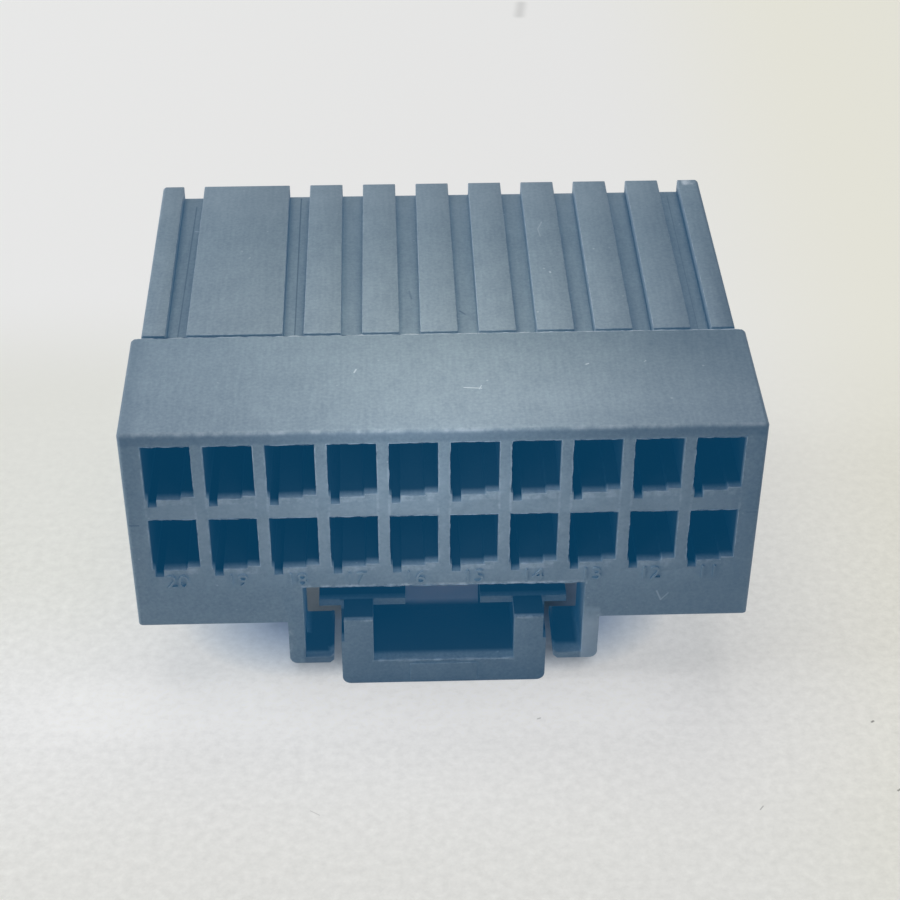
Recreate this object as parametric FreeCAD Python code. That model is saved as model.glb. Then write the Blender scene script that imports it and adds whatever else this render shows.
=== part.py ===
import FreeCAD, Part
import math
import os

from FreeCAD import Vector

# Receptacle housing of a two-row crimp connector, moulded in one piece.
# X runs along the rows, Y from the wire side to the mating side, and Z is up.
# The origin is under the middle of the housing, on the surface that its latch rests on.
# Lengths are in millimetres.

# Circuits
pitch = 2.0
columns = 10
rows = 2
row_pitch = 3.04
end_margin = 1.5            # last circuit's centre to the side of the rear block

# Overall
height = 11.25
block_depth = 5.5
mating_length = 10.05
block_height = 8.3
side_step = 0.33            # the mating section is this much narrower on each side
block_corner = 0.15
block_edge = 0.1
junction_notch = 0.09
mating_corner = 0.13
mating_edge = 0.07

# Terminal cavities, seen from the wire side
cavity_width = 1.62
cavity_height = 2.2
roof_wall = 0.49            # top of the block to the top of the upper cavities
key_slot_width = 0.29
key_slot_margin = 0.08
key_slot_depth = 0.3
ledge_width = 0.43
ledge_rise = 0.11
entry_depth = 4.7           # the tall part that takes the crimped wire
entry_slope = 0.7
contact_height = 1.66       # the lower part that takes the contact box, under the grooves
front_wall = 0.9            # stops the contacts at the mating end

# Pin windows in the mating face
pin_window = 0.9
lead_in = 0.2
lead_in_depth = 0.4

# Cantilever lances in the cavity floors
lance_root = 7.4            # wire face to the root of the lance
lance_length = 2.8
lance_width = 0.52
lance_thickness = 0.4
lance_rise = 0.36
lance_side_gap = 0.1
lance_flex_gap = 0.5

# Guide grooves along the top of the mating section
groove_front = 0.78         # width at the mating face
groove_back = 0.72
groove_depth = 0.54
key_column = 1              # this column has no groove, which makes the wide key rib

# Latch pocket in the rear block
pocket_half = 4.82
pocket_height = 1.67

# Guard hooks beside the latch
hook_wall = 0.56
hook_drop = 1.87
hook_depth = 2.4
hook_foot = 0.28
hook_gap = 0.27             # foot tip to the side of the press pad
hook_corner = 0.28
hook_end_corner = 0.2

# Press pad at the free end of the latch
pad_width = 7.14
pad_floor = 1.08
pad_wall = 1.12
pad_height = 3.02
pad_wall_depth = 2.6
pad_depth = 3.9
pad_corner = 0.3
pad_relief = 0.11
pad_relief_height = 1.0
wing_start = 1.15
wing_thickness = 0.3
wing_reach = 0.76
wing_slot = 2.62
boss_width = 2.35
boss_height = 0.8
boss_rise = 0.05

# Latch arm, catch and root
arm_width = 5.2
arm_thickness = 0.95
arm_top = 2.3
riser_front = 3.1
riser_fillet = 0.45
riser_top_radius = 0.2
root_length = 1.3
root_setback = 0.3
root_fillet = 0.7
catch_width = 4.2
catch_start = 9.3           # wire face to the locking face of the catch
catch_crest = 0.5
catch_ramp = 2.3

# Places that follow from the sizes above
length = block_depth + mating_length
wire_face = -length / 2
mating_face = length / 2
junction = wire_face + block_depth
block_half = (columns - 1) * pitch / 2 + end_margin
mating_half = block_half - side_step
block_bottom = height - block_height
pocket_roof = block_bottom + pocket_height
contact_end = mating_face - front_wall

# How far a cut runs past the face it opens, and a joined piece into its carrier
overlap = 0.2

# Corners nearer than this are the same
same = 1e-6


def column_x(column):
    return (column - (columns - 1) / 2) * pitch


def row_top(row):
    return height - roof_wall - row * row_pitch


def outline(corners):
    """Closed wire through (point, radius) corners, with an arc wherever the radius is not zero."""
    count = len(corners)
    spans = []
    for i in range(count):
        here, radius = corners[i]
        if radius == 0:
            spans.append((here, None, here))
            continue
        to_last = (corners[i - 1][0] - here).normalize()
        to_next = (corners[(i + 1) % count][0] - here).normalize()
        half = to_last.getAngle(to_next) / 2
        inward = (to_last + to_next).normalize()
        reach = radius / math.tan(half)
        middle = here + inward * (radius / math.sin(half) - radius)
        spans.append((here + to_last * reach, middle, here + to_next * reach))
    edges = []
    for i in range(count):
        start, middle, end = spans[i]
        if middle is not None:
            edges.append(Part.Arc(start, middle, end).toShape())
        edges.append(Part.LineSegment(end, spans[(i + 1) % count][0]).toShape())
    return Part.Wire(edges)


def along_y(corners, y_from, y_to):
    """Solid with an (x, z, radius) section."""
    face = Part.Face(outline([(Vector(x, y_from, z), r) for x, z, r in corners]))
    return face.extrude(Vector(0, y_to - y_from, 0))


def along_x(corners, x_from, x_to):
    """Solid with a (y, z, radius) section."""
    face = Part.Face(outline([(Vector(x_from, y, z), r) for y, z, r in corners]))
    return face.extrude(Vector(x_to - x_from, 0, 0))


def along_z(corners, z_from, z_to):
    """Solid with an (x, y, radius) section."""
    face = Part.Face(outline([(Vector(x, y, z_from), r) for x, y, r in corners]))
    return face.extrude(Vector(0, 0, z_to - z_from))


def box(x_from, x_to, y_from, y_to, z_from, z_to):
    return Part.makeBox(x_to - x_from, y_to - y_from, z_to - z_from, Vector(x_from, y_from, z_from))


def mirrored(shape):
    return shape.mirror(Vector(0, 0, 0), Vector(1, 0, 0))


def edges_where(shape, test):
    """Edges whose ends all pass the test."""
    return [edge for edge in shape.Edges if all(test(vertex.Point) for vertex in edge.Vertexes)]


def near(a, b):
    return abs(a - b) < same


def rear_block():
    """Thick wire-side block, with rounded corners, eased edges and the latch pocket."""
    corners = [
        (-block_half, wire_face, block_corner),
        (block_half, wire_face, block_corner),
        (block_half, junction, block_corner),
        (-block_half, junction, block_corner),
    ]
    block = along_z(corners, block_bottom, height)
    rim = edges_where(block, lambda p: near(p.z, height) or near(p.z, block_bottom))
    block = block.makeChamfer(block_edge, rim)
    pocket = box(-pocket_half, pocket_half, wire_face - overlap, junction + overlap,
                 block_bottom - overlap, pocket_roof)
    return block.cut(pocket)


def mating_section():
    """Plug end with rounded corners and eased edges."""
    corners = [
        (-mating_half, junction - overlap, 0),
        (mating_half, junction - overlap, 0),
        (mating_half, mating_face, mating_corner),
        (-mating_half, mating_face, mating_corner),
    ]
    body = along_z(corners, pocket_roof, height)
    rim = edges_where(body, lambda p: near(p.y, mating_face) and (near(p.z, height) or near(p.z, pocket_roof)))
    body = body.makeChamfer(mating_edge, rim)
    notch = box(-mating_half - overlap, mating_half + overlap, junction - overlap,
                junction + junction_notch, height - junction_notch, height + overlap)
    return body.cut(notch)


def guide_grooves():
    """Tapered grooves over every column but the keyed one."""
    grooves = []
    for column in range(columns):
        if column == key_column:
            continue
        x = column_x(column)
        corners = [
            (x - groove_back / 2, junction, 0),
            (x + groove_back / 2, junction, 0),
            (x + groove_front / 2, mating_face + overlap, 0),
            (x - groove_front / 2, mating_face + overlap, 0),
        ]
        grooves.append(along_z(corners, height - groove_depth, height + overlap))
    return grooves


def cavity_section(x, floor, roof):
    """Cavity outline: a key slot at the lower left and a low ledge at the lower right."""
    left = x - cavity_width / 2
    right = x + cavity_width / 2
    slot_left = left + key_slot_margin
    slot_right = slot_left + key_slot_width
    return [
        (left, roof, 0),
        (right, roof, 0),
        (right, floor + ledge_rise, 0),
        (right - ledge_width, floor + ledge_rise, 0),
        (right - ledge_width - ledge_rise / 2, floor, 0),
        (slot_right, floor, 0),
        (slot_right, floor - key_slot_depth, 0),
        (slot_left, floor - key_slot_depth, 0),
        (slot_left, floor, 0),
        (left, floor + key_slot_margin, 0),
    ]


def terminal_cavity(column, row):
    """Everything cut away for one circuit, from the wire face to the mating face."""
    x = column_x(column)
    roof = row_top(row)
    floor = roof - cavity_height
    contact_roof = floor + contact_height
    centre = floor + contact_height / 2
    entry_end = wire_face + entry_depth
    entry = along_y(cavity_section(x, floor, roof), wire_face - overlap, entry_end)
    contact = along_x([
        (entry_end - overlap, floor, 0),
        (entry_end - overlap, roof, 0),
        (entry_end, roof, 0),
        (entry_end + entry_slope, contact_roof, 0),
        (contact_end, contact_roof, 0),
        (contact_end, floor, 0),
    ], x - cavity_width / 2, x + cavity_width / 2)
    window = box(x - pin_window / 2, x + pin_window / 2, contact_end - overlap, mating_face + overlap,
                 centre - pin_window / 2, centre + pin_window / 2)
    funnel = pin_lead_in(x, centre)
    lance_gap = lance_width / 2 + lance_side_gap
    lance_slot = box(x - lance_gap, x + lance_gap, wire_face + lance_root, mating_face + overlap,
                     floor - lance_flex_gap, floor)
    return [entry, contact, window, funnel, lance_slot]


def pin_lead_in(x, z):
    """Four-sided funnel at the mating end of a pin window."""
    inner = pin_window / 2
    outer = inner + lead_in
    return Part.makeWedge(x - inner, mating_face - lead_in_depth, z - inner, z - outer, x - outer,
                          x + inner, mating_face, z + inner, z + outer, x + outer)


def lance(column, row):
    """Flexible tongue that rises from the cavity floor towards the mating side."""
    x = column_x(column)
    floor = row_top(row) - cavity_height
    root = wire_face + lance_root
    tip = root + lance_length
    corners = [
        (root - overlap, floor - lance_thickness, 0),
        (root - overlap, floor, 0),
        (tip - lance_thickness, floor + lance_rise, 0),
        (tip, floor + lance_rise, 0),
        (tip, floor + lance_rise - lance_thickness, 0),
        (root, floor - lance_thickness, 0),
    ]
    return along_x(corners, x - lance_width / 2, x + lance_width / 2)


def guard_hook():
    """L-shaped guard on the left of the latch, with its foot turned in under the latch wing."""
    outer = -pocket_half - hook_wall
    inner = -pocket_half
    bottom = block_bottom - hook_drop
    tip = -pad_width / 2 - hook_gap
    section = [
        (outer, block_bottom + overlap, 0),
        (outer, bottom, hook_corner),
        (tip - hook_foot / 2, bottom, 0),
        (tip, bottom + hook_foot / 2, 0),
        (tip, bottom + hook_foot + hook_foot / 2, 0),
        (tip - hook_foot / 2, bottom + hook_foot, 0),
        (inner, bottom + hook_foot, 0),
        (inner, block_bottom + overlap, 0),
    ]
    hook = along_y(section, wire_face, wire_face + hook_depth)
    end = wire_face + hook_depth
    plan = along_z([
        (outer - overlap, wire_face - overlap, 0),
        (tip, wire_face - overlap, 0),
        (tip, end, hook_end_corner),
        (outer - overlap, end, 0),
    ], bottom - overlap, block_bottom + 2 * overlap)
    return hook.common(plan)


def press_pad():
    """Channel that the thumb presses, with a thin wing on top of each wall."""
    half = pad_width / 2
    inner = half - pad_wall
    front = wire_face + boss_rise
    channel = along_y([
        (-half, pad_height, 0),
        (-half, 0, pad_corner),
        (half, 0, pad_corner),
        (half, pad_height, 0),
        (inner, pad_height, 0),
        (inner, pad_floor, 0),
        (-inner, pad_floor, 0),
        (-inner, pad_height, 0),
    ], front, wire_face + pad_wall_depth)
    floor_plate = along_y([
        (-half, pad_floor, 0),
        (-half, 0, pad_corner),
        (half, 0, pad_corner),
        (half, pad_floor, 0),
    ], front, wire_face + pad_depth)
    wing = box(-half - wing_reach, -wing_slot / 2, wire_face + wing_start, wire_face + pad_wall_depth,
               pad_height - wing_thickness, pad_height)
    relief = box(-half - overlap, -half + pad_relief, wire_face - overlap, wire_face + wing_start,
                 pad_height - pad_relief_height, pad_height + overlap)
    boss = box(-boss_width / 2, boss_width / 2, wire_face, front + overlap,
               (pad_floor - boss_height) / 2, (pad_floor + boss_height) / 2)
    pad = channel.fuse([floor_plate, wing, mirrored(wing), boss])
    return pad.cut([relief, mirrored(relief)])


def latch_arm():
    """Riser, long arm and root, as one side profile, with the locking catch under the arm."""
    riser = wire_face + riser_front
    arm_bottom = arm_top - arm_thickness
    root_end = mating_face - root_setback
    root_front = root_end - root_length
    arm = along_x([
        (wire_face + pad_wall_depth, pad_floor - overlap, 0),
        (wire_face + pad_wall_depth, pad_floor, 0),
        (riser, pad_floor, riser_fillet),
        (riser, arm_top, riser_top_radius),
        (root_front, arm_top, root_fillet),
        (root_front, pocket_roof + overlap, 0),
        (root_end, pocket_roof + overlap, 0),
        (root_end, arm_bottom, root_fillet),
        (wire_face + pad_depth + overlap, arm_bottom, 0),
        (wire_face + pad_depth - overlap, pad_floor - overlap, 0),
    ], -arm_width / 2, arm_width / 2)
    lock = wire_face + catch_start
    catch = along_x([
        (lock, arm_bottom + overlap, 0),
        (lock, 0, 0),
        (lock + catch_crest, 0, 0),
        (lock + catch_crest + catch_ramp, arm_bottom, 0),
        (lock + catch_crest + catch_ramp, arm_bottom + overlap, 0),
    ], -catch_width / 2, catch_width / 2)
    return arm.fuse(catch)


def housing():
    hook = guard_hook()
    body = rear_block().fuse([mating_section(), hook, mirrored(hook)])
    cuts = guide_grooves()
    lances = []
    for row in range(rows):
        for column in range(columns):
            cuts += terminal_cavity(column, row)
            lances.append(lance(column, row))
    body = body.cut(cuts)
    return body.fuse(lances + [press_pad(), latch_arm()]).removeSplitter()


os.makedirs("parts", exist_ok=True)
part = housing()
solid = part.Solids[0]
solid.exportStep("parts/housing.step")
bounds = solid.BoundBox
print("solids", len(part.Solids), "faces", len(solid.Faces), "valid", solid.isValid())
print("volume %.2f mm3" % solid.Volume)
print("size %.2f x %.2f x %.2f, lowest z %.3f" % (bounds.XLength, bounds.YLength, bounds.ZLength, bounds.ZMin))
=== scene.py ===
# %% [markdown]
# # A receptacle connector housing
# The object is the plastic housing of a two-row wire-to-board connector. Its hard shapes come
# ready from the construction model, as one mesh that must stay where it is. This lesson gives it
# the finish of the real thing, and a plain studio to look at it in.
# Everything is in metres, so millimetres are written as a number times mm.

# %% Load the construction model
import math

import bmesh
import bpy
from mathutils import Matrix, Vector


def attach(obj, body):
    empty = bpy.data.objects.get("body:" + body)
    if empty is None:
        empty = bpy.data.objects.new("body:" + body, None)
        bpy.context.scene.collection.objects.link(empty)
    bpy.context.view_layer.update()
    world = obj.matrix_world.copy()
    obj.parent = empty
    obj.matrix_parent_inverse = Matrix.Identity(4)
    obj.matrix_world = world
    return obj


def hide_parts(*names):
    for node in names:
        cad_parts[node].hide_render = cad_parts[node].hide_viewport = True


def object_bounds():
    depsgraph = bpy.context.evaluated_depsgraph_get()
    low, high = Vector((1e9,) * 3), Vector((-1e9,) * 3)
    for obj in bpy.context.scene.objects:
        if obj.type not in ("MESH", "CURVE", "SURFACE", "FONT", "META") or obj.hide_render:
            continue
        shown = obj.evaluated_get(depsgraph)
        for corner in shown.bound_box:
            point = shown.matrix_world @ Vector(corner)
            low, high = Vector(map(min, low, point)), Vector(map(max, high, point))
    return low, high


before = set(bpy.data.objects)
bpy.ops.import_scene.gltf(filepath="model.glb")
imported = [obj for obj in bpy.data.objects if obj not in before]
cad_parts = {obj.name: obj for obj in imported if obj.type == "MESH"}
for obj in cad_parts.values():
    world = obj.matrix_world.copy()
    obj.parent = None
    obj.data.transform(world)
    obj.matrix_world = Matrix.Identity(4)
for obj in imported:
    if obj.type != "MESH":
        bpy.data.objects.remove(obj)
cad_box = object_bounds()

mm = 0.001
scene = bpy.context.scene
cad_low, cad_high = (Vector(corner) for corner in cad_box)
wire_face = cad_low.y
mating_face = cad_high.y
top = cad_high.z
print("housing %.2f x %.2f x %.2f mm" % tuple((cad_high - cad_low) / mm))

# %% [markdown]
# ## The camera
# A camera is easiest to place by the point that it looks at, and by its distance and direction
# from there. The values were found by fitting the housing's corners to the photograph, and a
# long lens on a camera close by keeps the perspective of a phone held over a small part.

# %% Place the camera
sensor = 36.0
focal_length = 80.94
azimuth = math.radians(-2.096)
elevation = math.radians(37.910)
roll = math.radians(0.257)
distance = 71.44 * mm
aim = Vector((0.358 * mm, wire_face + 4.8 * mm, top - 4.552 * mm))

back = Vector((math.sin(azimuth) * math.cos(elevation),
               -math.cos(azimuth) * math.cos(elevation),
               math.sin(elevation)))
level_right = (-back).cross(Vector((0, 0, 1))).normalized()
level_up = level_right.cross(-back)
right = math.cos(roll) * level_right + math.sin(roll) * level_up
up = math.cos(roll) * level_up - math.sin(roll) * level_right

camera = bpy.data.objects.new("camera", bpy.data.cameras.new("camera"))
scene.collection.objects.link(camera)
turn = Matrix((right, up, back)).transposed().to_4x4()
camera.matrix_world = Matrix.Translation(aim + back * distance) @ turn
camera.data.sensor_width = sensor
camera.data.lens = focal_length
camera.data.clip_start = 5 * mm
scene.camera = camera
print("camera at", [round(c / mm, 1) for c in camera.location], "mm")

# %% [markdown]
# ## The housing's places
# Finishes, numbers and flash need to know where the housing's features lie. These are the
# moulding's own sizes: ten columns at a pitch of two millimetres, two rows of cavities, a rear
# block with a pocket under it, and the press pad of the latch that hangs in the pocket. Marks
# are listed later in millimetres from one of two points in the middle of the wire face: one
# straight under it on the floor, the other on its top edge.

# %% Name the places that the finish refers to
pitch = 2.0 * mm
columns = 10
row_tops = (top - 0.49 * mm, top - 3.53 * mm)
cavity_width = 1.62 * mm
cavity_height = 2.2 * mm
junction = wire_face + 5.5 * mm
pocket_roof = top - 6.63 * mm
pocket_half = 4.82 * mm
pad_half = 3.57 * mm
pad_inner = 2.45 * mm
pad_floor = 1.08 * mm
pad_top = 3.02 * mm
guard_side = 5.38 * mm
under_face = Vector((0, wire_face, 0))
top_edge = Vector((0, wire_face, top))


def column_x(column):
    return (column - (columns - 1) / 2) * pitch


print("columns from %.1f to %.1f mm" % (column_x(0) / mm, column_x(columns - 1) / mm))

# %% [markdown]
# ## The moulding
# No edge of a moulded part is truly sharp: the steel of the mould is eased, and handling wears
# the edges further. A Bevel modifier could do this, but it can't say afterwards which faces it
# made. So the construction mesh is copied, its loose triangles are welded, and flat neighbours
# are dissolved into whole faces. Then a bevel of a fiftieth of a millimetre goes round the outer
# edges, and its faces are marked in an attribute, so that the plastic can show wear just there.

# %% Weld a copy of the construction mesh
weld_distance = 0.001 * mm
flat_angle = math.radians(0.5)


def welded_copy(node_name, name):
    mesh = bpy.data.meshes.new(name)
    work = bmesh.new()
    work.from_mesh(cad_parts[node_name].data)
    bmesh.ops.remove_doubles(work, verts=work.verts, dist=weld_distance)
    bmesh.ops.dissolve_limit(work, angle_limit=flat_angle, verts=work.verts, edges=work.edges)
    mesh.materials.clear()
    work.to_mesh(mesh)
    work.free()
    piece = bpy.data.objects.new(name, mesh)
    scene.collection.objects.link(piece)
    return piece


housing = welded_copy("housing", "moulded_housing")
print(len(housing.data.polygons), "whole faces")

# %% Ease its outer edges and mark them
edge_round = 0.022 * mm
sharp_angle = math.radians(50)


def ease_edges(piece, width):
    work = bmesh.new()
    work.from_mesh(piece.data)
    outer = [e for e in work.edges
             if len(e.link_faces) == 2 and e.is_convex and e.calc_face_angle() > sharp_angle]
    worn = work.faces.layers.float.new("worn_edge")
    made = bmesh.ops.bevel(work, geom=outer, offset=width, offset_type="OFFSET", segments=2,
                           profile=0.5, affect="EDGES", clamp_overlap=False)
    for face in made["faces"]:
        if face.is_valid:
            face[worn] = 1.0
    for face in work.faces:
        face.smooth = True
    for edge in work.edges:
        if len(edge.link_faces) == 2:
            edge.smooth = edge.calc_face_angle() < sharp_angle
    work.to_mesh(piece.data)
    work.free()
    return len(outer)


eased = ease_edges(housing, edge_round)
print(eased, "outer edges eased,", len(housing.data.polygons), "faces")

# %% [markdown]
# ## Position numbers
# Under the lower row each circuit has a raised number, half a millimetre tall, counted down from
# twenty on the left. The mould has them engraved, so they stand proud of the face, by eight
# hundredths of a millimetre, and have no colour of their own. A text object gives the outline,
# and its extrusion gives the height. It is made a mesh before it is placed.

# %% Raise a number under each circuit of the lower row
number_height = 0.55 * mm
number_rise = 0.08 * mm
number_drop = 6.49 * mm
capital_share = 0.7


def number_mesh(value, height, rise):
    text = bpy.data.curves.new("number", "FONT")
    text.body = str(value)
    text.align_x = "CENTER"
    text.size = height / capital_share
    text.extrude = rise
    text.resolution_u = 3
    carrier = bpy.data.objects.new("number", text)
    scene.collection.objects.link(carrier)
    mesh = bpy.data.meshes.new_from_object(carrier)
    bpy.data.objects.remove(carrier)
    return mesh


numbers_work = bmesh.new()
upright = Matrix.Rotation(math.radians(90), 4, "X")
for column in range(columns):
    mesh = number_mesh(2 * columns - column, number_height, number_rise)
    place = Vector((column_x(column), wire_face, top - number_drop))
    mesh.transform(Matrix.Translation(place) @ upright)
    numbers_work.from_mesh(mesh)
numbers_mesh = bpy.data.meshes.new("position_numbers")
numbers_work.to_mesh(numbers_mesh)
numbers_work.free()
numbers = bpy.data.objects.new("position_numbers", numbers_mesh)
scene.collection.objects.link(numbers)
print(columns, "numbers,", len(numbers_mesh.polygons), "faces")

# %% [markdown]
# ## Colours and nodes
# Colours are easiest to judge as the hex values of a screen, but a shader wants linear light.
# One function turns the first into the second. Another adds any node to any tree, with its
# settings, its input values and its links, so that each material below reads as a list.

# %% Helpers for colours and nodes


def linear(hex_colour):
    """An sRGB hex colour as linear RGBA."""
    parts = [int(hex_colour[i:i + 2], 16) / 255 for i in (1, 3, 5)]
    return tuple(c / 12.92 if c <= 0.04045 else ((c + 0.055) / 1.055) ** 2.4
                 for c in parts) + (1.0,)


def node(tree, kind, settings=(), inputs=(), links=()):
    """Adds one node, with its settings, its input values and its incoming links."""
    made = tree.nodes.new(kind)
    for name, value in dict(settings).items():
        setattr(made, name, value)
    for name, value in dict(inputs).items():
        made.inputs[name].default_value = value
    for name, socket in dict(links).items():
        tree.links.new(socket, made.inputs[name])
    return made


def empty_material(name):
    material = bpy.data.materials.new(name)
    material.use_nodes = True
    material.node_tree.nodes.clear()
    return material, material.node_tree


print("white is", linear("#FFFFFF"))

# %% [markdown]
# ## Zones
# Wear, shade and dust aren't the same everywhere. A zone is a small box in the object's own
# space. The distance to it, as a share of how far the effect reaches, fades the effect out, and
# what comes out is a mask: the strength inside the box, and nothing beyond its reach. A part has
# many such places, so they are listed in rows, in millimetres from a starting point.

# %% Helpers for zones


def away(tree, place, centre, half, reach):
    """0 inside a box, growing to 1 where the reach ends on each side of it."""
    offset = node(tree, "ShaderNodeVectorMath", {"operation": "SUBTRACT"}, {1: centre}, {0: place})
    size = node(tree, "ShaderNodeVectorMath", {"operation": "ABSOLUTE"}, (),
                {0: offset.outputs[0]})
    out = node(tree, "ShaderNodeVectorMath", {"operation": "SUBTRACT"}, {1: half},
               {0: size.outputs[0]})
    clear = node(tree, "ShaderNodeVectorMath", {"operation": "MAXIMUM"}, {1: (0, 0, 0)},
                 {0: out.outputs[0]})
    share = node(tree, "ShaderNodeVectorMath", {"operation": "DIVIDE"}, {1: reach},
                 {0: clear.outputs[0]})
    return node(tree, "ShaderNodeVectorMath", {"operation": "LENGTH"}, (),
                {0: share.outputs[0]}).outputs[1]


def zone(tree, place, centre, half, reach, strength):
    """The strength inside a box, faded to nothing where its reach ends."""
    distance = away(tree, place, centre, half, reach)
    return node(tree, "ShaderNodeMapRange", {"interpolation_type": "SMOOTHSTEP"},
                {"From Min": 0.0, "From Max": 1.0, "To Min": strength, "To Max": 0.0},
                {"Value": distance}).outputs[0]


def zones(tree, place, start, rows):
    """One zone for each row of name, centre, half size, reach and strength, in millimetres."""
    return [zone(tree, place, start + Vector(centre) * mm, Vector(half) * mm,
                 Vector(reach) * mm, strength)
            for name, centre, half, reach, strength in rows]


def strongest(tree, masks):
    best = masks[0]
    for mask in masks[1:]:
        best = node(tree, "ShaderNodeMath", {"operation": "MAXIMUM"}, (),
                    {0: best, 1: mask}).outputs[0]
    return best


print("zones are boxes that fade out")

# %% [markdown]
# A scratch is the same with a line instead of a box, and a very short one is a speck of dust.
# Both only use the Object coordinates, so the marks stay on the plastic from every side.

# %% Helpers for scratches


def scratch(tree, place, start, end, width, strength):
    """A line from start to end, faded out at half its width."""
    along = end - start
    offset = node(tree, "ShaderNodeVectorMath", {"operation": "SUBTRACT"}, {1: start}, {0: place})
    run = node(tree, "ShaderNodeVectorMath", {"operation": "DOT_PRODUCT"},
               {1: along / along.length ** 2}, {0: offset.outputs[0]})
    held = node(tree, "ShaderNodeClamp", (), (), {"Value": run.outputs[1]})
    nearest = node(tree, "ShaderNodeVectorMath", {"operation": "SCALE"}, {0: along},
                   {"Scale": held.outputs[0]})
    gap = node(tree, "ShaderNodeVectorMath", {"operation": "DISTANCE"}, (),
               {0: offset.outputs[0], 1: nearest.outputs[0]})
    share = node(tree, "ShaderNodeMath", {"operation": "DIVIDE"}, {1: width / 2},
                 {0: gap.outputs[1]})
    return node(tree, "ShaderNodeMapRange", {"interpolation_type": "SMOOTHSTEP"},
                {"From Min": 0.0, "From Max": 1.0, "To Min": strength, "To Max": 0.0},
                {"Value": share.outputs[0]}).outputs[0]


def scratches(tree, place, origin, rows):
    """One scratch for each row of start, end, width and strength, in millimetres."""
    return [scratch(tree, place, origin + Vector(start) * mm, origin + Vector(end) * mm,
                    width * mm, strength)
            for start, end, width, strength in rows]


print("scratches are lines that fade out")

# %% [markdown]
# ## The plastic
# Such housings are moulded from PBT polyester. Its colour here is a blue-grey, and the
# spark-eroded steel of the mould gives it a fine, even, matt grain. Four things are seen at this
# distance. The colour clouds a little, over about a millimetre, where the melt flowed, and it is
# drawn out along the housing, as the part was pulled from the mould. The grain breaks it up at a
# tenth of a millimetre, which is coarser than the real one, so that it shows. The edges and
# rubbed places are paler. And the deepest shade isn't black but a dark teal, as the photograph
# has it. A painted glow gives it: the plastic emits a faint dark teal, which lifts all its shade.

# %% Grain and clouding of the plastic
plastic, tree = empty_material("pbt_spark_eroded")
place = node(tree, "ShaderNodeTexCoord").outputs["Object"]
grain_size = 0.11 * mm
cloud_size = 1.1 * mm
draw_length = 1.2 * mm
cloud_share = 0.5
drag_share = 0.4
plastic_ior = 1.55
# painted glow: the dark teal that the plastic emits, which lifts all its shade
painted_shadow_glow = linear("#083754")

grain = node(tree, "ShaderNodeTexNoise", (),
             {"Scale": 1 / grain_size, "Detail": 3.0, "Roughness": 0.6}, {"Vector": place})
cloud = node(tree, "ShaderNodeTexNoise", (), {"Scale": 1 / cloud_size, "Detail": 3.0},
             {"Vector": place})
drawn = node(tree, "ShaderNodeMapping", (),
             {"Scale": (1 / grain_size, 1 / draw_length, 1 / grain_size)}, {"Vector": place})
drag = node(tree, "ShaderNodeTexNoise", (), {"Scale": 1.0, "Detail": 1.0},
            {"Vector": drawn.outputs[0]})
clouded = node(tree, "ShaderNodeMath", {"operation": "MULTIPLY_ADD"}, {1: cloud_share},
               {0: cloud.outputs["Fac"], 2: grain.outputs["Fac"]})
dragged = node(tree, "ShaderNodeMath", {"operation": "MULTIPLY_ADD"}, {1: drag_share},
               {0: drag.outputs["Fac"], 2: clouded.outputs[0]})
tone = node(tree, "ShaderNodeMapRange", (), {"From Min": 0.6, "From Max": 1.3},
            {"Value": dragged.outputs[0]})
body = node(tree, "ShaderNodeMix", {"data_type": "RGBA"},
            {"A": linear("#757E80"), "B": linear("#909A9B")}, {"Factor": tone.outputs[0]})
print("grain %.2f mm, clouds %.1f mm" % (grain_size / mm, cloud_size / mm))

# %% [markdown]
# Wear gathers where the part is rubbed: along the top front edge, the lip of the pocket, the
# guards and the press pad. These places are alike on the left and the right, so the coordinates
# are folded over the middle, and each is listed once. Only the tip of the far right rail is on
# one side.

# %% Rubbed places
mirrored = node(tree, "ShaderNodeVectorMath", {"operation": "ABSOLUTE"}, (), {0: place})
split = node(tree, "ShaderNodeSeparateXYZ", (), (), {0: place})
side = node(tree, "ShaderNodeSeparateXYZ", (), (), {0: mirrored.outputs[0]})
folded = node(tree, "ShaderNodeCombineXYZ", (), (),
              {0: side.outputs[0], 1: split.outputs[1], 2: split.outputs[2]}).outputs[0]
post_x = (pad_half + pad_inner) / 2
rubbed = [
    ("top front edge", (0, wire_face, top), (10.3 * mm, 0.03 * mm, 0.03 * mm), 0.16 * mm, 0.4),
    ("pocket lip", (0, wire_face, pocket_roof), (pocket_half, 0.02 * mm, 0.02 * mm),
     0.13 * mm, 1.0),
    ("guard corner", (guard_side, wire_face, 2.1 * mm), (0.03 * mm, 0.02 * mm, 1.0 * mm),
     0.16 * mm, 0.6),
    ("post top", (post_x, wire_face, pad_top), (0.56 * mm, 0.1 * mm, 0.02 * mm), 0.09 * mm, 0.8),
    ("pad lip", (0, wire_face, pad_floor), (pad_inner, 0.08 * mm, 0.02 * mm), 0.1 * mm, 0.6),
]
worn = [zone(tree, folded, centre, half, (reach,) * 3, strength)
        for name, centre, half, reach, strength in rubbed]
worn.append(zone(tree, place, (9.85 * mm, mating_face, top), (0.25 * mm, 0.3 * mm, 0.03 * mm),
                 (0.12 * mm, 0.25 * mm, 0.12 * mm), 1.0))
print(len(worn), "rubbed places")

# %% [markdown]
# A fringe of paler plastic lies round the mouth of each cavity, where the cores of the mould
# shut off. The columns repeat, so the coordinates are folded again, to and fro over one pitch,
# and one column's fringe serves for all ten. A last zone keeps it within the columns.

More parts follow.
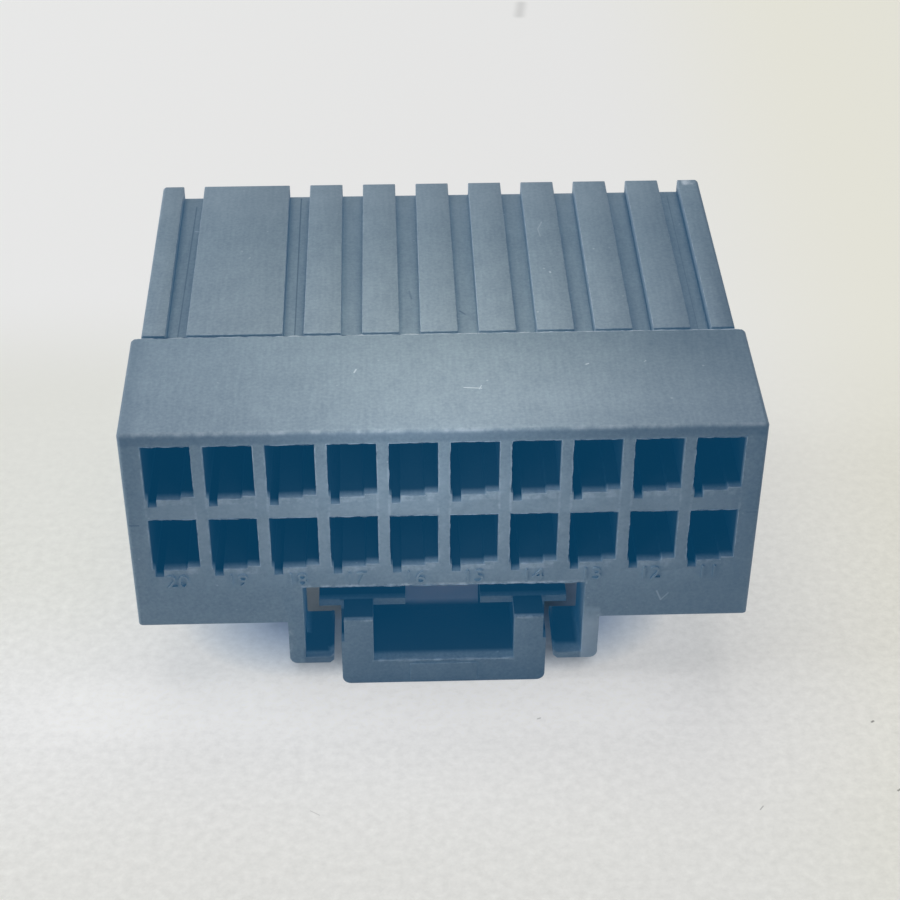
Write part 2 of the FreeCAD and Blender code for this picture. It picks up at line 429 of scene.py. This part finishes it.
# %% The fringe round the cavities' mouths
fringe_strength = 0.35
web_half = (pitch - cavity_width) / 2
column_fold = node(tree, "ShaderNodeMath", {"operation": "PINGPONG"}, {1: pitch / 2},
                   {0: split.outputs[0]})
repeated = node(tree, "ShaderNodeCombineXYZ", (), (),
                {0: column_fold.outputs[0], 1: split.outputs[1], 2: split.outputs[2]}).outputs[0]
mouth = [zone(tree, repeated, (web_half, wire_face, top - 3.1 * mm),
              (0.01 * mm, 0.02 * mm, 2.5 * mm), (0.06 * mm, 0.1 * mm, 0.1 * mm), fringe_strength)]
for row_top in row_tops:
    sill = (0.7 * mm, wire_face, row_top - cavity_height - 0.08 * mm)
    mouth.append(zone(tree, repeated, sill, (0.35 * mm, 0.02 * mm, 0.1 * mm),
                      (0.1 * mm, 0.1 * mm, 0.08 * mm), fringe_strength))
in_columns = zone(tree, place, (0, wire_face, top - 3.4 * mm), (9.86 * mm, 0.05 * mm, 4.0 * mm),
                  (0.05 * mm, 0.1 * mm, 0.1 * mm), 1.0)
fringe = node(tree, "ShaderNodeMath", {"operation": "MULTIPLY"}, (),
              {0: strongest(tree, mouth), 1: in_columns})
print("fringes along %d zones in every column" % len(mouth))

# %% [markdown]
# No rubbed place is rubbed evenly. A noise of less than half a millimetre, with much fine
# detail, makes patches, and the wear of the places, the fringe and the eased edges only shows
# in them.

# %% Wear
patch_size = 0.4 * mm
edge_strength = 0.3
patches = node(tree, "ShaderNodeTexNoise", (),
               {"Scale": 1 / patch_size, "Detail": 4.0, "Roughness": 0.65}, {"Vector": place})
patchy = node(tree, "ShaderNodeMapRange", (), {"From Min": 0.42, "From Max": 0.66},
              {"Value": patches.outputs["Fac"]})
edge_mark = node(tree, "ShaderNodeAttribute", {"attribute_name": "worn_edge"})
edge_wear = node(tree, "ShaderNodeMath", {"operation": "MULTIPLY"}, {1: edge_strength},
                 {0: edge_mark.outputs["Fac"]})
wear = node(tree, "ShaderNodeMath", {"operation": "MULTIPLY"}, (),
            {0: strongest(tree, worn + [fringe.outputs[0], edge_wear.outputs[0]]),
             1: patchy.outputs[0]})
print("wear in patches of %.1f mm" % (patch_size / mm))

# %% [markdown]
# Scratches and nicks are single marks, listed one by one from the top edge of the wire face.
# Fine dust lies everywhere, so it comes from a Voronoi texture instead, whose cells have one
# speck each in the middle. The far ends of the ribs and the foot of the right guard are a
# little paler as a whole.

# %% Pale marks: scratches, nicks and specks
pale_scratches = [
    ((-2.9, 3.25, 0), (-2.84, 3.42, 0), 0.09, 0.7),
    ((0.72, 2.3, 0), (1.3, 2.24, 0), 0.07, 0.75),
    ((1.22, 2.2, 0), (1.3, 2.4, 0), 0.06, 0.6),
    ((4.86, 3.5, 0), (4.94, 3.54, 0), 0.09, 0.8),
    ((6.83, 3.6, 0), (6.88, 3.66, 0), 0.07, 0.6),
    ((7.3, 0, -7.1), (7.46, 0, -7.5), 0.1, 0.6),
    ((7.46, 0, -7.5), (7.7, 0, -7.2), 0.08, 0.55),
    ((-8.16, 0, -5.3), (-8.22, 0, -5.4), 0.1, 0.6),
    ((-1.74, 0, -2.36), (-1.5, 0, -2.58), 0.08, 0.5),
    ((2.45, 0, -0.72), (2.47, 0, -0.9), 0.07, 0.5),
    ((4.0, 12.6, 0), (3.82, 12.1, 0), 0.08, 0.3),
    ((3.82, 12.1, 0), (3.88, 11.6, 0), 0.08, 0.25),
    ((4.06, 9.22, 0), (4.07, 9.15, 0), 0.12, 0.6),
    ((-3.33, 6.78, 0), (-3.28, 6.66, 0), 0.11, 0.7),
    ((-8.85, 13.15, -0.54), (-8.7, 13.12, -0.54), 0.09, 0.6),
    ((-6.7, 10.4, 0), (-6.67, 10.44, 0), 0.09, 0.3),
    ((5.55, 0, -5.3), (5.7, 0, -5.12), 0.09, 0.5),
]
pale_places = [
    ("far ends of the ribs", (-2, 15.55, 11.25), (9.5, 0.5, 0.6), (3, 3.5, 0.5), 0.09),
    ("right guard's foot", (5.1, 0, 1.7), (0.25, 0.05, 0.9), (0.1, 0.2, 0.6), 0.42),
]
speck_spacing = 0.9 * mm
dust = node(tree, "ShaderNodeTexVoronoi", (), {"Scale": 1 / speck_spacing}, {"Vector": place})
specks = node(tree, "ShaderNodeMapRange", (),
              {"From Min": 0.02, "From Max": 0.06, "To Min": 0.35, "To Max": 0.0},
              {"Value": dust.outputs["Distance"]})
pale = (scratches(tree, place, top_edge, pale_scratches)
        + [specks.outputs[0], wear.outputs[0]]
        + zones(tree, place, under_face, pale_places))
print(len(pale_scratches), "pale scratches")

# %% [markdown]
# Dirt and painted shade are given the same dark colour. Lines of painted shade run along the
# floors of three grooves between the ribs, where each floor has a small step, and wider ones
# along the side walls of the grooves. Short lines of dirt cross the margins of the wire face and
# lie in a few grooves. Some whole places get painted shade too, such as the right half of the
# ribs, the strip over the cavities, the fronts of the wings, the left guard's foot and the pad.

# %% Dark marks: dirt, and painted shade in lines and places
dirt_and_shade_lines = [
    # painted shade: thin lines at the small step in three groove floors
    ((-8.91, 14.9, -0.54), (-9.02, 5.6, -0.54), 0.08, 0.6),
    ((-4.97, 15.4, -0.54), (-4.98, 5.6, -0.54), 0.08, 0.8),
    ((9.0, 15.2, -0.54), (9.02, 5.6, -0.54), 0.07, 0.5),
    # painted shade: wide bands along the side walls of the grooves
    ((-9.39, 15.5, -0.4), (-9.36, 5.6, -0.4), 0.44, 0.6),
    ((-5.39, 15.5, -0.4), (-5.36, 5.6, -0.4), 0.44, 0.75),
    ((5.39, 15.5, -0.45), (5.36, 5.6, -0.45), 0.26, 0.6),
    ((7.39, 15.5, -0.45), (7.36, 5.6, -0.45), 0.36, 0.75),
    ((9.39, 15.5, -0.4), (9.36, 5.6, -0.4), 0.44, 0.8),
    # dirt: dashes on the side margins, short marks in the grooves, a nick on the face
    ((-10.45, 0, -3.75), (-10.1, 0, -3.75), 0.1, 0.6),
    ((10.1, 0, -3.66), (10.42, 0, -3.66), 0.1, 0.6),
    ((0.78, 7.6, -0.54), (0.95, 7.4, -0.54), 0.12, 0.7),
    ((-0.97, 8.9, -0.54), (-0.9, 8.4, -0.54), 0.12, 0.45),
    ((-1.78, 0, -2.45), (-1.5, 0, -2.72), 0.06, 0.6),
]
# painted shade in every one of these places
painted_shade_places = [
    ("right margin of the face", (10.2, 0, 4.75), (0.5, 0.02, 3), (2.5, 0.2, 2.5), 0.22),
    ("right half of the ribs", (9.2, 8.5, 11.25), (0.9, 3.5, 0.6), (3.5, 5.0, 1.0), 0.16),
    ("strip over the cavities", (0, 0, 10.99), (10.3, 0.01, 0.1), (0.3, 0.04, 0.16), 0.3),
    ("fronts of the wings", (0, 1.2, 2.87), (4.3, 0.08, 0.18), (0.1, 0.1, 0.08), 0.4),
    ("left margin of the top", (-10.45, 2.75, 11.25), (0.1, 2.7, 0.1), (0.6, 0.5, 0.3), 0.22),
    ("left guard's foot", (-4.35, 0, 1.35), (0.45, 0.1, 0.3), (0.15, 0.2, 0.2), 0.5),
    ("press pad", (0, 0, 1.5), (3.6, 0.1, 1.5), (0.2, 0.2, 0.2), 0.12),
]
dark = (scratches(tree, place, top_edge, dirt_and_shade_lines)
        + zones(tree, place, under_face, painted_shade_places))
print(len(dirt_and_shade_lines), "dark lines,", len(painted_shade_places), "darker places")

# %% [markdown]
# The thin webs between the cavities, where the most light falls on the wire face, are given
# painted light: a paler body colour. The leg of the right guard is paler too. Those zones
# lighten the body colour unevenly, with the same patches as the wear.

# %% Painted light on the webs, and the paler leg
painted_web_light_and_pale_leg = zones(tree, place, under_face, [
    ("webs between the cavities", (0, 0, 7.25), (9.2, 0.02, 1.5), (1.2, 0.2, 1.7), 0.5),
    ("right guard's leg", (5.1, 0, 2.0), (0.25, 0.05, 1.3), (0.1, 0.2, 0.3), 1.0),
])
uneven = node(tree, "ShaderNodeMapRange", (),
              {"From Min": 0.35, "From Max": 0.65, "To Min": 0.55, "To Max": 1.2},
              {"Value": patches.outputs["Fac"]})
webs = node(tree, "ShaderNodeMath", {"operation": "MULTIPLY"}, (),
            {0: strongest(tree, painted_web_light_and_pale_leg), 1: uneven.outputs[0]})
print(len(painted_web_light_and_pale_leg), "painted web light and pale leg")

# %% [markdown]
# Deep in the cavities and behind the press pad the opposite is needed. The photograph is at its
# darkest there, and a part of that comes from the lens, so painted shade makes the body colour
# darker from a quarter of a millimetre inwards. The tops of the posts and the foot of the left
# guard, in the shade of the block, get the same painted shade. The riser of the latch, far
# inside, catches light through the slot, and is painted paler, as painted light.

# %% Painted shade in the insides, painted light on the riser
painted_shade_strength = 0.95
# painted shade: places that little light reaches, painted dark
inside = [
    ("cavities in the block", (0, 2.75, 8.0), (9.85, 2.35, 2.9), 0.27),
    ("cavities in the plug end", (0, 10.0, 7.7), (9.85, 4.9, 2.6), 0.27),
    ("inside the press pad", (0, 5.0, 1.7), (4.6, 4.4, 0.8), 0.27),
    ("behind the press pad", (0, 9.0, 2.5), (4.6, 5.0, 2.0), 0.27),
    ("over the wings", (0, 5.0, 3.78), (4.6, 3.55, 0.78), 0.27),
    ("left post's top", (-3.01, 0.68, 3.02), (0.55, 0.42, 0.03), 0.1),
    ("right post's top", (3.01, 0.68, 3.02), (0.55, 0.42, 0.03), 0.1),
    ("left guard's foot", (-4.6, 0.8, 1.1), (0.5, 0.4, 0.7), 0.2),
]
shaded = zones(tree, place, under_face, [(name, centre, half, (reach,) * 3, painted_shade_strength)
                                         for name, centre, half, reach in inside])
# painted light: the front of the riser, lit through the slot
riser = zones(tree, place, under_face, [
    ("front of the riser", (0, 3.1, 1.7), (1.31, 0.15, 0.4), (0.04, 0.3, 0.2), 1.0),
])
print(len(shaded), "shaded insides")

# %% [markdown]
# Now the colours are laid over one another, each by its own mask: the painted light on the
# webs, what is worn, what is dirty or in painted shade, then the painted shade of the insides, so
# that no wear shines out of a cavity, and at the end the painted light on the riser. The bump is
# the spark-eroded grain itself, a hundredth of a millimetre high.

# %% Put the plastic together
layers = [
    # painted light on the webs, and the paler leg of the right guard
    ("painted web light and pale leg", "#A3ACAE", webs.outputs[0]),
    ("pale marks", "#D5DADA", strongest(tree, pale)),
    # dirt and painted shade, in one dark colour
    ("dark marks", "#39434A", strongest(tree, dark)),
    # painted shade of the insides, then painted light on the riser
    ("shaded insides", "#0A2833", strongest(tree, shaded)),
    ("riser", "#D2B6AE", strongest(tree, riser)),
]
colour = body
for name, tint, mask in layers:
    colour = node(tree, "ShaderNodeMix", {"data_type": "RGBA"}, {"B": linear(tint)},
                  {"Factor": mask, "A": colour.outputs["Result"]})
bump = node(tree, "ShaderNodeBump", (), {"Strength": 0.6, "Distance": 0.01 * mm},
            {"Height": grain.outputs["Fac"]})
# The emission is the painted glow, which lifts the plastic's shade to dark teal.
shader = node(tree, "ShaderNodeBsdfPrincipled", (),
              {"Roughness": 0.62, "IOR": plastic_ior, "Emission Color": painted_shadow_glow,
               "Emission Strength": 1.0},
              {"Base Color": colour.outputs["Result"], "Normal": bump.outputs["Normal"]})
node(tree, "ShaderNodeOutputMaterial", (), (), {"Surface": shader.outputs["BSDF"]})
for piece in (housing, numbers):
    piece.data.materials.append(plastic)
print("plastic", plastic.name, "with", len(tree.nodes), "nodes")

# %% [markdown]
# ## Moulding flash
# Where two parts of a mould meet, a little melt creeps out and sets as flash: a ragged bead, a
# few hundredths of a millimetre thick. Here it follows the back of the rear block, the mouths
# of the cavities, the lip of the pocket and the press pad. It follows lines, so Geometry Nodes
# suit it: the lines are resampled, their points wander a little, a noise sets the bead's radius
# from point to point, and a small ring is swept along them.

# %% Draw the lines that the flash follows
sill_bead = 0.022 * mm
mouth_bead = 0.013 * mm
back_bead = 0.03 * mm
pad_bead = 0.03 * mm
lip_bead = 0.014 * mm
sill_start = 0.4 * mm
sill_step = 1.2 * mm
step_rise = 0.11 * mm
back_half = 10.3 * mm
back_drop = 0.07 * mm


def mouth_lines(left, row_top):
    """The flash round one cavity: start, end and radius of each line."""
    sill = row_top - cavity_height
    step = sill + step_rise
    lines = [
        ((left + sill_start, wire_face, sill), (left + sill_step, wire_face, sill), sill_bead),
        ((left + sill_step, wire_face, step), (left + cavity_width, wire_face, step), sill_bead),
    ]
    corners = [(left + x, wire_face, z) for x, z in
               ((0, sill), (0, row_top), (cavity_width, row_top), (cavity_width, step))]
    return lines + [(a, b, mouth_bead) for a, b in zip(corners, corners[1:])]


flash_lines = []
for column in range(columns):
    for row_top in row_tops:
        flash_lines += mouth_lines(column_x(column) - cavity_width / 2, row_top)
for half, y, z, radius in ((back_half, junction, top - back_drop, back_bead),
                           (pad_inner, wire_face + 0.05 * mm, pad_floor, pad_bead),
                           (pocket_half, wire_face, pocket_roof, lip_bead)):
    flash_lines.append(((-half, y, z), (half, y, z), radius))
print(len(flash_lines), "lines of flash")

# %% Make them a mesh of edges with a thickness
flash_mesh = bpy.data.meshes.new("flash_lines")
points = [p for line in flash_lines for p in line[:2]]
flash_mesh.from_pydata(points, [(2 * i, 2 * i + 1) for i in range(len(flash_lines))], [])
thickness = flash_mesh.attributes.new("thickness", "FLOAT", "POINT")
for i, line in enumerate(flash_lines):
    thickness.data[2 * i].value = line[2]
    thickness.data[2 * i + 1].value = line[2]
flash = bpy.data.objects.new("moulding_flash", flash_mesh)
scene.collection.objects.link(flash)
print(len(points), "points")

# %% [markdown]
# Flash is the same PBT, but so thin that light passes into it, and it has no eroded grain. So it
# is a little glossier, and mottled between the grey of the body and a paler one.

# %% The plastic of the flash
thin_plastic, tree = empty_material("pbt_thin_flash")
mottle_size = 0.2 * mm
place = node(tree, "ShaderNodeTexCoord").outputs["Object"]
mottle = node(tree, "ShaderNodeTexNoise", (), {"Scale": 1 / mottle_size, "Detail": 2.0},
              {"Vector": place})
colour = node(tree, "ShaderNodeMix", {"data_type": "RGBA"},
              {"A": linear("#7F8889"), "B": linear("#D0D6D6")}, {"Factor": mottle.outputs["Fac"]})
# The flash has the same painted glow, a dark teal emission.
shader = node(tree, "ShaderNodeBsdfPrincipled", (),
              {"Roughness": 0.5, "IOR": plastic_ior, "Emission Color": painted_shadow_glow,
               "Emission Strength": 1.0},
              {"Base Color": colour.outputs["Result"]})
node(tree, "ShaderNodeOutputMaterial", (), (), {"Surface": shader.outputs["BSDF"]})
print("flash", thin_plastic.name)

# %% [markdown]
# The tree for the bead gets its sizes as named inputs. Its noise is four-dimensional, and the
# fourth number is the seed, so the bead comes out the same each time. The ring has only five
# corners, because a bead this thin never shows more.

# %% Build the tree that sweeps the bead
bead = bpy.data.node_groups.new("ragged_bead", "GeometryNodeTree")
bead.interface.new_socket("Lines", in_out="INPUT", socket_type="NodeSocketGeometry")
sockets = {}
for name, kind in (("Spacing", "NodeSocketFloat"), ("Wander", "NodeSocketFloat"),
                   ("Patch", "NodeSocketFloat"), ("Seed", "NodeSocketFloat"),
                   ("Plastic", "NodeSocketMaterial")):
    made = bead.interface.new_socket(name, in_out="INPUT", socket_type=kind)
    sockets[name] = made.identifier
bead.interface.new_socket("Flash", in_out="OUTPUT", socket_type="NodeSocketGeometry")

given = node(bead, "NodeGroupInput").outputs
curves = node(bead, "GeometryNodeMeshToCurve", (), (), {"Mesh": given["Lines"]})
fine = node(bead, "GeometryNodeResampleCurve", {"mode": "LENGTH"}, (),
            {"Curve": curves.outputs[0], "Length": given["Spacing"]})
where = node(bead, "GeometryNodeInputPosition")
per_metre = node(bead, "ShaderNodeMath", {"operation": "DIVIDE"}, {0: 1.0}, {1: given["Patch"]})
rough = node(bead, "ShaderNodeTexNoise", {"noise_dimensions": "4D"}, {"Detail": 3.0},
             {"Vector": where.outputs[0], "W": given["Seed"], "Scale": per_metre.outputs[0]})
centred = node(bead, "ShaderNodeVectorMath", {"operation": "SUBTRACT"}, {1: (0.5, 0.5, 0.5)},
               {0: rough.outputs["Color"]})
shift = node(bead, "ShaderNodeVectorMath", {"operation": "SCALE"}, (),
             {0: centred.outputs[0], "Scale": given["Wander"]})
moved = node(bead, "GeometryNodeSetPosition", (), (),
             {"Geometry": fine.outputs[0], "Offset": shift.outputs[0]})
swell = node(bead, "ShaderNodeMapRange", (),
             {"From Min": 0.38, "From Max": 0.66, "To Min": 0.1, "To Max": 1.4},
             {"Value": rough.outputs["Fac"]})
thick = node(bead, "GeometryNodeInputNamedAttribute", {"data_type": "FLOAT"},
             {"Name": "thickness"})
radius = node(bead, "ShaderNodeMath", {"operation": "MULTIPLY"}, (),
              {0: swell.outputs[0], 1: thick.outputs["Attribute"]})
ring = node(bead, "GeometryNodeCurvePrimitiveCircle", (), {"Resolution": 5, "Radius": 1.0})
swept = node(bead, "GeometryNodeCurveToMesh", (), {"Fill Caps": True},
             {"Curve": moved.outputs[0], "Profile Curve": ring.outputs[0],
              "Scale": radius.outputs[0]})
real = node(bead, "GeometryNodeRealizeInstances", (), (), {"Geometry": swept.outputs[0]})
coated = node(bead, "GeometryNodeSetMaterial", (), (),
              {"Geometry": real.outputs[0], "Material": given["Plastic"]})
node(bead, "NodeGroupOutput", (), (), {"Flash": coated.outputs[0]})
print("tree", bead.name, "with", len(bead.nodes), "nodes")

# %% Sweep the bead and keep its mesh
modifier = flash.modifiers.new("ragged_bead", "NODES")
modifier.node_group = bead
for name, value in (("Spacing", 0.04 * mm), ("Wander", 0.05 * mm), ("Patch", 0.3 * mm),
                    ("Seed", 7.0), ("Plastic", thin_plastic)):
    modifier[sockets[name]] = value
evaluated = flash.evaluated_get(bpy.context.evaluated_depsgraph_get())
swept_mesh = bpy.data.meshes.new_from_object(evaluated)
flash.modifiers.clear()
flash.data = swept_mesh
print(len(swept_mesh.polygons), "faces of flash")

# %% [markdown]
# ## The floor
# The part stands on a plain pale sheet of matt card. It is large enough that its far edge never
# shows, and beyond it the world is as pale as the card.

# %% Make the floor
floor_half = 1500 * mm
floor_mesh = bpy.data.meshes.new("floor")
floor_mesh.from_pydata([(-floor_half, -floor_half, 0), (floor_half, -floor_half, 0),
                        (floor_half, floor_half, 0), (-floor_half, floor_half, 0)],
                       [], [(0, 1, 2, 3)])
floor = bpy.data.objects.new("floor", floor_mesh)
scene.collection.objects.link(floor)
print("floor %.1f m square" % (2 * floor_half))

# %% [markdown]
# A faint mottling of fibres keeps the card from being flat. It is plain in front, where the
# photograph is sharp, and fades towards the back.

# %% The card and its fibres
card_paint, tree = empty_material("matt_card")
place = node(tree, "ShaderNodeTexCoord").outputs["Object"]
fibre_size = 0.35 * mm
fibre = node(tree, "ShaderNodeTexNoise", (),
             {"Scale": 1 / fibre_size, "Detail": 3.0, "Roughness": 0.7}, {"Vector": place})
across = node(tree, "ShaderNodeSeparateXYZ", (), (), {0: place})
depth = node(tree, "ShaderNodeMapRange", {"interpolation_type": "SMOOTHSTEP"},
             {"From Min": wire_face + 2 * mm, "From Max": wire_face + 22 * mm,
              "To Min": 0.3, "To Max": 0.005},
             {"Value": across.outputs[1]})
centred = node(tree, "ShaderNodeMath", {"operation": "SUBTRACT"}, {1: 0.5},
               {0: fibre.outputs["Fac"]})
mottled = node(tree, "ShaderNodeMath", {"operation": "MULTIPLY_ADD"}, {2: 1.0},
               {0: centred.outputs[0], 1: depth.outputs[0]})
card = node(tree, "ShaderNodeVectorMath", {"operation": "SCALE"}, {0: linear("#F6F5EE")[:3]},
            {"Scale": mottled.outputs[0]})
print("fibres %.2f mm" % (fibre_size / mm))

# %% [markdown]
# Only a part of the floor's brightness is light that falls on it, and carries the shadow. The
# rest is a glow, given only to what the camera and reflections see, so that the background is
# pale with no more light on the object. Close to the housing the glow fades out, first in red
# and last in blue, as a painted shadow, bluish because what light gets under there is the sky's
# blue. To the right the glow is a little warmer. A few wide zones dim the glow beside and in front
# of the housing and in the slots of the latch, as painted shadows, and one brightens it where the
# wire face throws light back, as painted light.

# %% Painted shadow and painted light in the floor's glow
# painted shadow: the glow fades out under the housing, red first and blue last
under = away(tree, place, under_face + Vector((-0.6, 8.5, 0)) * mm, Vector((4.6, 4.6, 1)) * mm,
             Vector((4.4, 3.5, 1)) * mm)
open_share = node(tree, "ShaderNodeClamp", (), (), {"Value": under})
red, green, blue = (node(tree, "ShaderNodeMath", {"operation": "POWER"}, {1: power},
                         {0: open_share.outputs[0]}).outputs[0] for power in (1.5, 1.2, 0.8))
shade = node(tree, "ShaderNodeCombineXYZ", (), (), {0: red, 1: green, 2: blue})
warm = node(tree, "ShaderNodeMapRange", {"interpolation_type": "SMOOTHSTEP"},
            {"From Min": 8 * mm, "From Max": 22 * mm}, {"Value": across.outputs[0]})
tint = node(tree, "ShaderNodeMix", {"data_type": "RGBA"},
            {"A": linear("#FFFFFF"), "B": linear("#FFFDEB")}, {"Factor": warm.outputs[0]})
tinted = node(tree, "ShaderNodeVectorMath", {"operation": "MULTIPLY"}, (),
              {0: shade.outputs[0], 1: tint.outputs["Result"]})
# painted shadows of the housing, beside it and in front of it
painted_floor_shadows = zones(tree, place, under_face, [
    ("left of the housing", (-16, 12, 0), (2, 5, 1), (7, 9, 1), 1.0),
    ("in front of it", (0, -12, 0), (20, 3, 1), (9, 8, 1), 0.6),
])
painted_shadow_tint = node(tree, "ShaderNodeMix", {"data_type": "RGBA"},
              {"A": linear("#FFFFFF"), "B": linear("#EFEFE6")},
              {"Factor": strongest(tree, painted_floor_shadows)})
# painted light thrown back by the wire face, and painted shadow in the slots
painted_bounce_light, slots = zones(tree, place, under_face, [
    ("light thrown back by the wire face", (-3, -1, 0), (9, 0.6, 1), (4, 1.8, 1), 0.09),
    ("slots beside the latch", (0, 3.6, 0), (4.9, 1.8, 1), (0.8, 1.6, 1), 0.7),
])
brighter = node(tree, "ShaderNodeMath", {"operation": "ADD"}, (),
                {0: mottled.outputs[0], 1: painted_bounce_light})
level = node(tree, "ShaderNodeMath", {"operation": "SUBTRACT"}, (),
             {0: brighter.outputs[0], 1: slots})
spread = node(tree, "ShaderNodeVectorMath", {"operation": "MULTIPLY"}, (),
              {0: tinted.outputs[0], 1: painted_shadow_tint.outputs["Result"]})
lit = node(tree, "ShaderNodeVectorMath", {"operation": "SCALE"}, (),
           {0: spread.outputs[0], "Scale": level.outputs[0]})
print("glow spread over the floor")

# %% [markdown]
# A little dust and a few short hairs lie on the card. They are scratches too, so they are added
# both to the card and to its glow, and then the two are mixed.

# %% Put the floor together
hairs = [
    ((14.8, -2.4, 0), (14.86, -2.36, 0), 0.13, 0.75),
    ((10.3, -6.3, 0), (10.42, -6.15, 0), 0.08, 0.45),
    ((15.05, -5.6, 0), (15.2, -5.5, 0), 0.12, 0.7),
    ((5.9, 53.0, 0), (6.1, 54.5, 0), 1.0, 0.2),
    ((3.2, -1.9, 0), (3.3, -1.86, 0), 0.09, 0.4),
    ((-4.6, -5.9, 0), (-4.3, -6.1, 0), 0.06, 0.3),
]
glow_share = 0.5
dusty = strongest(tree, scratches(tree, place, under_face, hairs))
card_colour, glow_colour = (node(tree, "ShaderNodeMix", {"data_type": "RGBA"},
                                 {"B": linear("#3A3A38")}, {"Factor": dusty, "A": base.outputs[0]})
                            for base in (card, lit))
paint = node(tree, "ShaderNodeBsdfDiffuse", (), (), {"Color": card_colour.outputs["Result"]})
glow = node(tree, "ShaderNodeEmission", (), {"Strength": 1.0},
            {"Color": glow_colour.outputs["Result"]})
path = node(tree, "ShaderNodeLightPath").outputs
seen = strongest(tree, [path[ray] for ray in ("Is Camera Ray", "Is Glossy Ray",
                                              "Is Transmission Ray")])
share = node(tree, "ShaderNodeMath", {"operation": "MULTIPLY"}, {1: glow_share}, {0: seen})
mixed = node(tree, "ShaderNodeMixShader", (), (),
             {0: share.outputs[0], 1: paint.outputs[0], 2: glow.outputs[0]})
node(tree, "ShaderNodeOutputMaterial", (), (), {"Surface": mixed.outputs[0]})
floor.data.materials.append(card_paint)
print("floor", card_paint.name, "with", len(hairs), "hairs")

# %% [markdown]
# ## The light
# The photograph was taken on a table by a window, with a small lamp close over the part. So a
# wide soft lamp hangs over the table, a bluish one stands on the left and weaker ones on the
# right and behind. The small lamp is nine millimetres over the rear block: it makes the bright
# spot in the middle of the top, and fades over the ribs and to both sides. A fainter one stands
# in front of the wire face, a little higher than the top, and lights the webs. The two small
# lamps light only the housing.

# %% Hang the lamps


def softbox(name, place, target, width, depth, watts, colour):
    """A rectangular area lamp at a place, turned to a target, with its sizes in millimetres."""
    data = bpy.data.lights.new(name, "AREA")
    data.shape = "RECTANGLE"
    data.size = width * mm
    data.size_y = depth * mm
    data.energy = watts
    data.color = colour
    made = bpy.data.objects.new(name, data)
    scene.collection.objects.link(made)
    aimed = (place - target).to_track_quat("Z", "Y").to_matrix().to_4x4()
    made.matrix_world = Matrix.Translation(place) @ aimed
    return made


room_lamps = [
    ("ceiling", (-20, 40, 300), (0, 0, 0), 260, 200, 0.37, (1.0, 0.97, 1.0)),
    ("window_left", (-240, 20, 110), (0, 0, 5), 160, 120, 0.40, (0.83, 0.89, 1.0)),
    ("fill_right", (240, 20, 110), (0, 0, 5), 160, 120, 0.06, (1.0, 0.88, 0.84)),
    ("fill_back", (0, 240, 160), (0, 0, 5), 200, 120, 0.07, (0.85, 1.0, 0.9)),
]
small_lamps = [
    ("small_lamp_over", (-0.7, 3.2, 9.4), (-0.7, 3.2, 0), 6, 6, 0.00043, (1.0, 1.0, 0.9)),
    ("small_lamp_front", (-1, -6, 1), (-1, 0, -4), 6, 6, 0.00031, (0.7, 0.83, 1.0)),
]
for name, place, target, *rest in room_lamps:
    softbox(name, Vector(place) * mm, Vector(target) * mm, *rest)
small = [softbox(name, top_edge + Vector(place) * mm, top_edge + Vector(target) * mm, *rest)
         for name, place, target, *rest in small_lamps]
print(len(room_lamps), "lamps in the room,", len(small), "small ones")

# %% Keep the small lamps to the housing
lit_by_small = bpy.data.collections.new("lit_by_small_lamps")
for piece in (housing, numbers, flash):
    lit_by_small.objects.link(piece)
for lamp in small:
    lamp.light_linking.receiver_collection = lit_by_small

# %% [markdown]
# The world adds a trace of sky light. Where the camera looks past the floor it sees a pale
# backdrop instead, which lights nothing. Colours are shown by the Standard view, as written.

# %% Set the sky and the backdrop
world = bpy.data.worlds.new("studio")
scene.world = world
world.use_nodes = True
tree = world.node_tree
tree.nodes.clear()
sky = node(tree, "ShaderNodeBackground", (), {"Color": linear("#E8EEF4"), "Strength": 0.01})
backdrop = node(tree, "ShaderNodeBackground", (), {"Color": linear("#E6E7E5"), "Strength": 1.0})
looked_at = node(tree, "ShaderNodeLightPath")
either = node(tree, "ShaderNodeMixShader", (), (),
              {0: looked_at.outputs["Is Camera Ray"], 1: sky.outputs[0], 2: backdrop.outputs[0]})
node(tree, "ShaderNodeOutputWorld", (), (), {"Surface": either.outputs[0]})
scene.view_settings.view_transform = "Standard"
print("world", world.name)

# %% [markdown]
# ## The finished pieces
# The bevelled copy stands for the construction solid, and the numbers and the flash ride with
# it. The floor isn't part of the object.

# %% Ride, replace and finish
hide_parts("housing")
for piece in (housing, numbers, flash):
    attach(piece, "root")
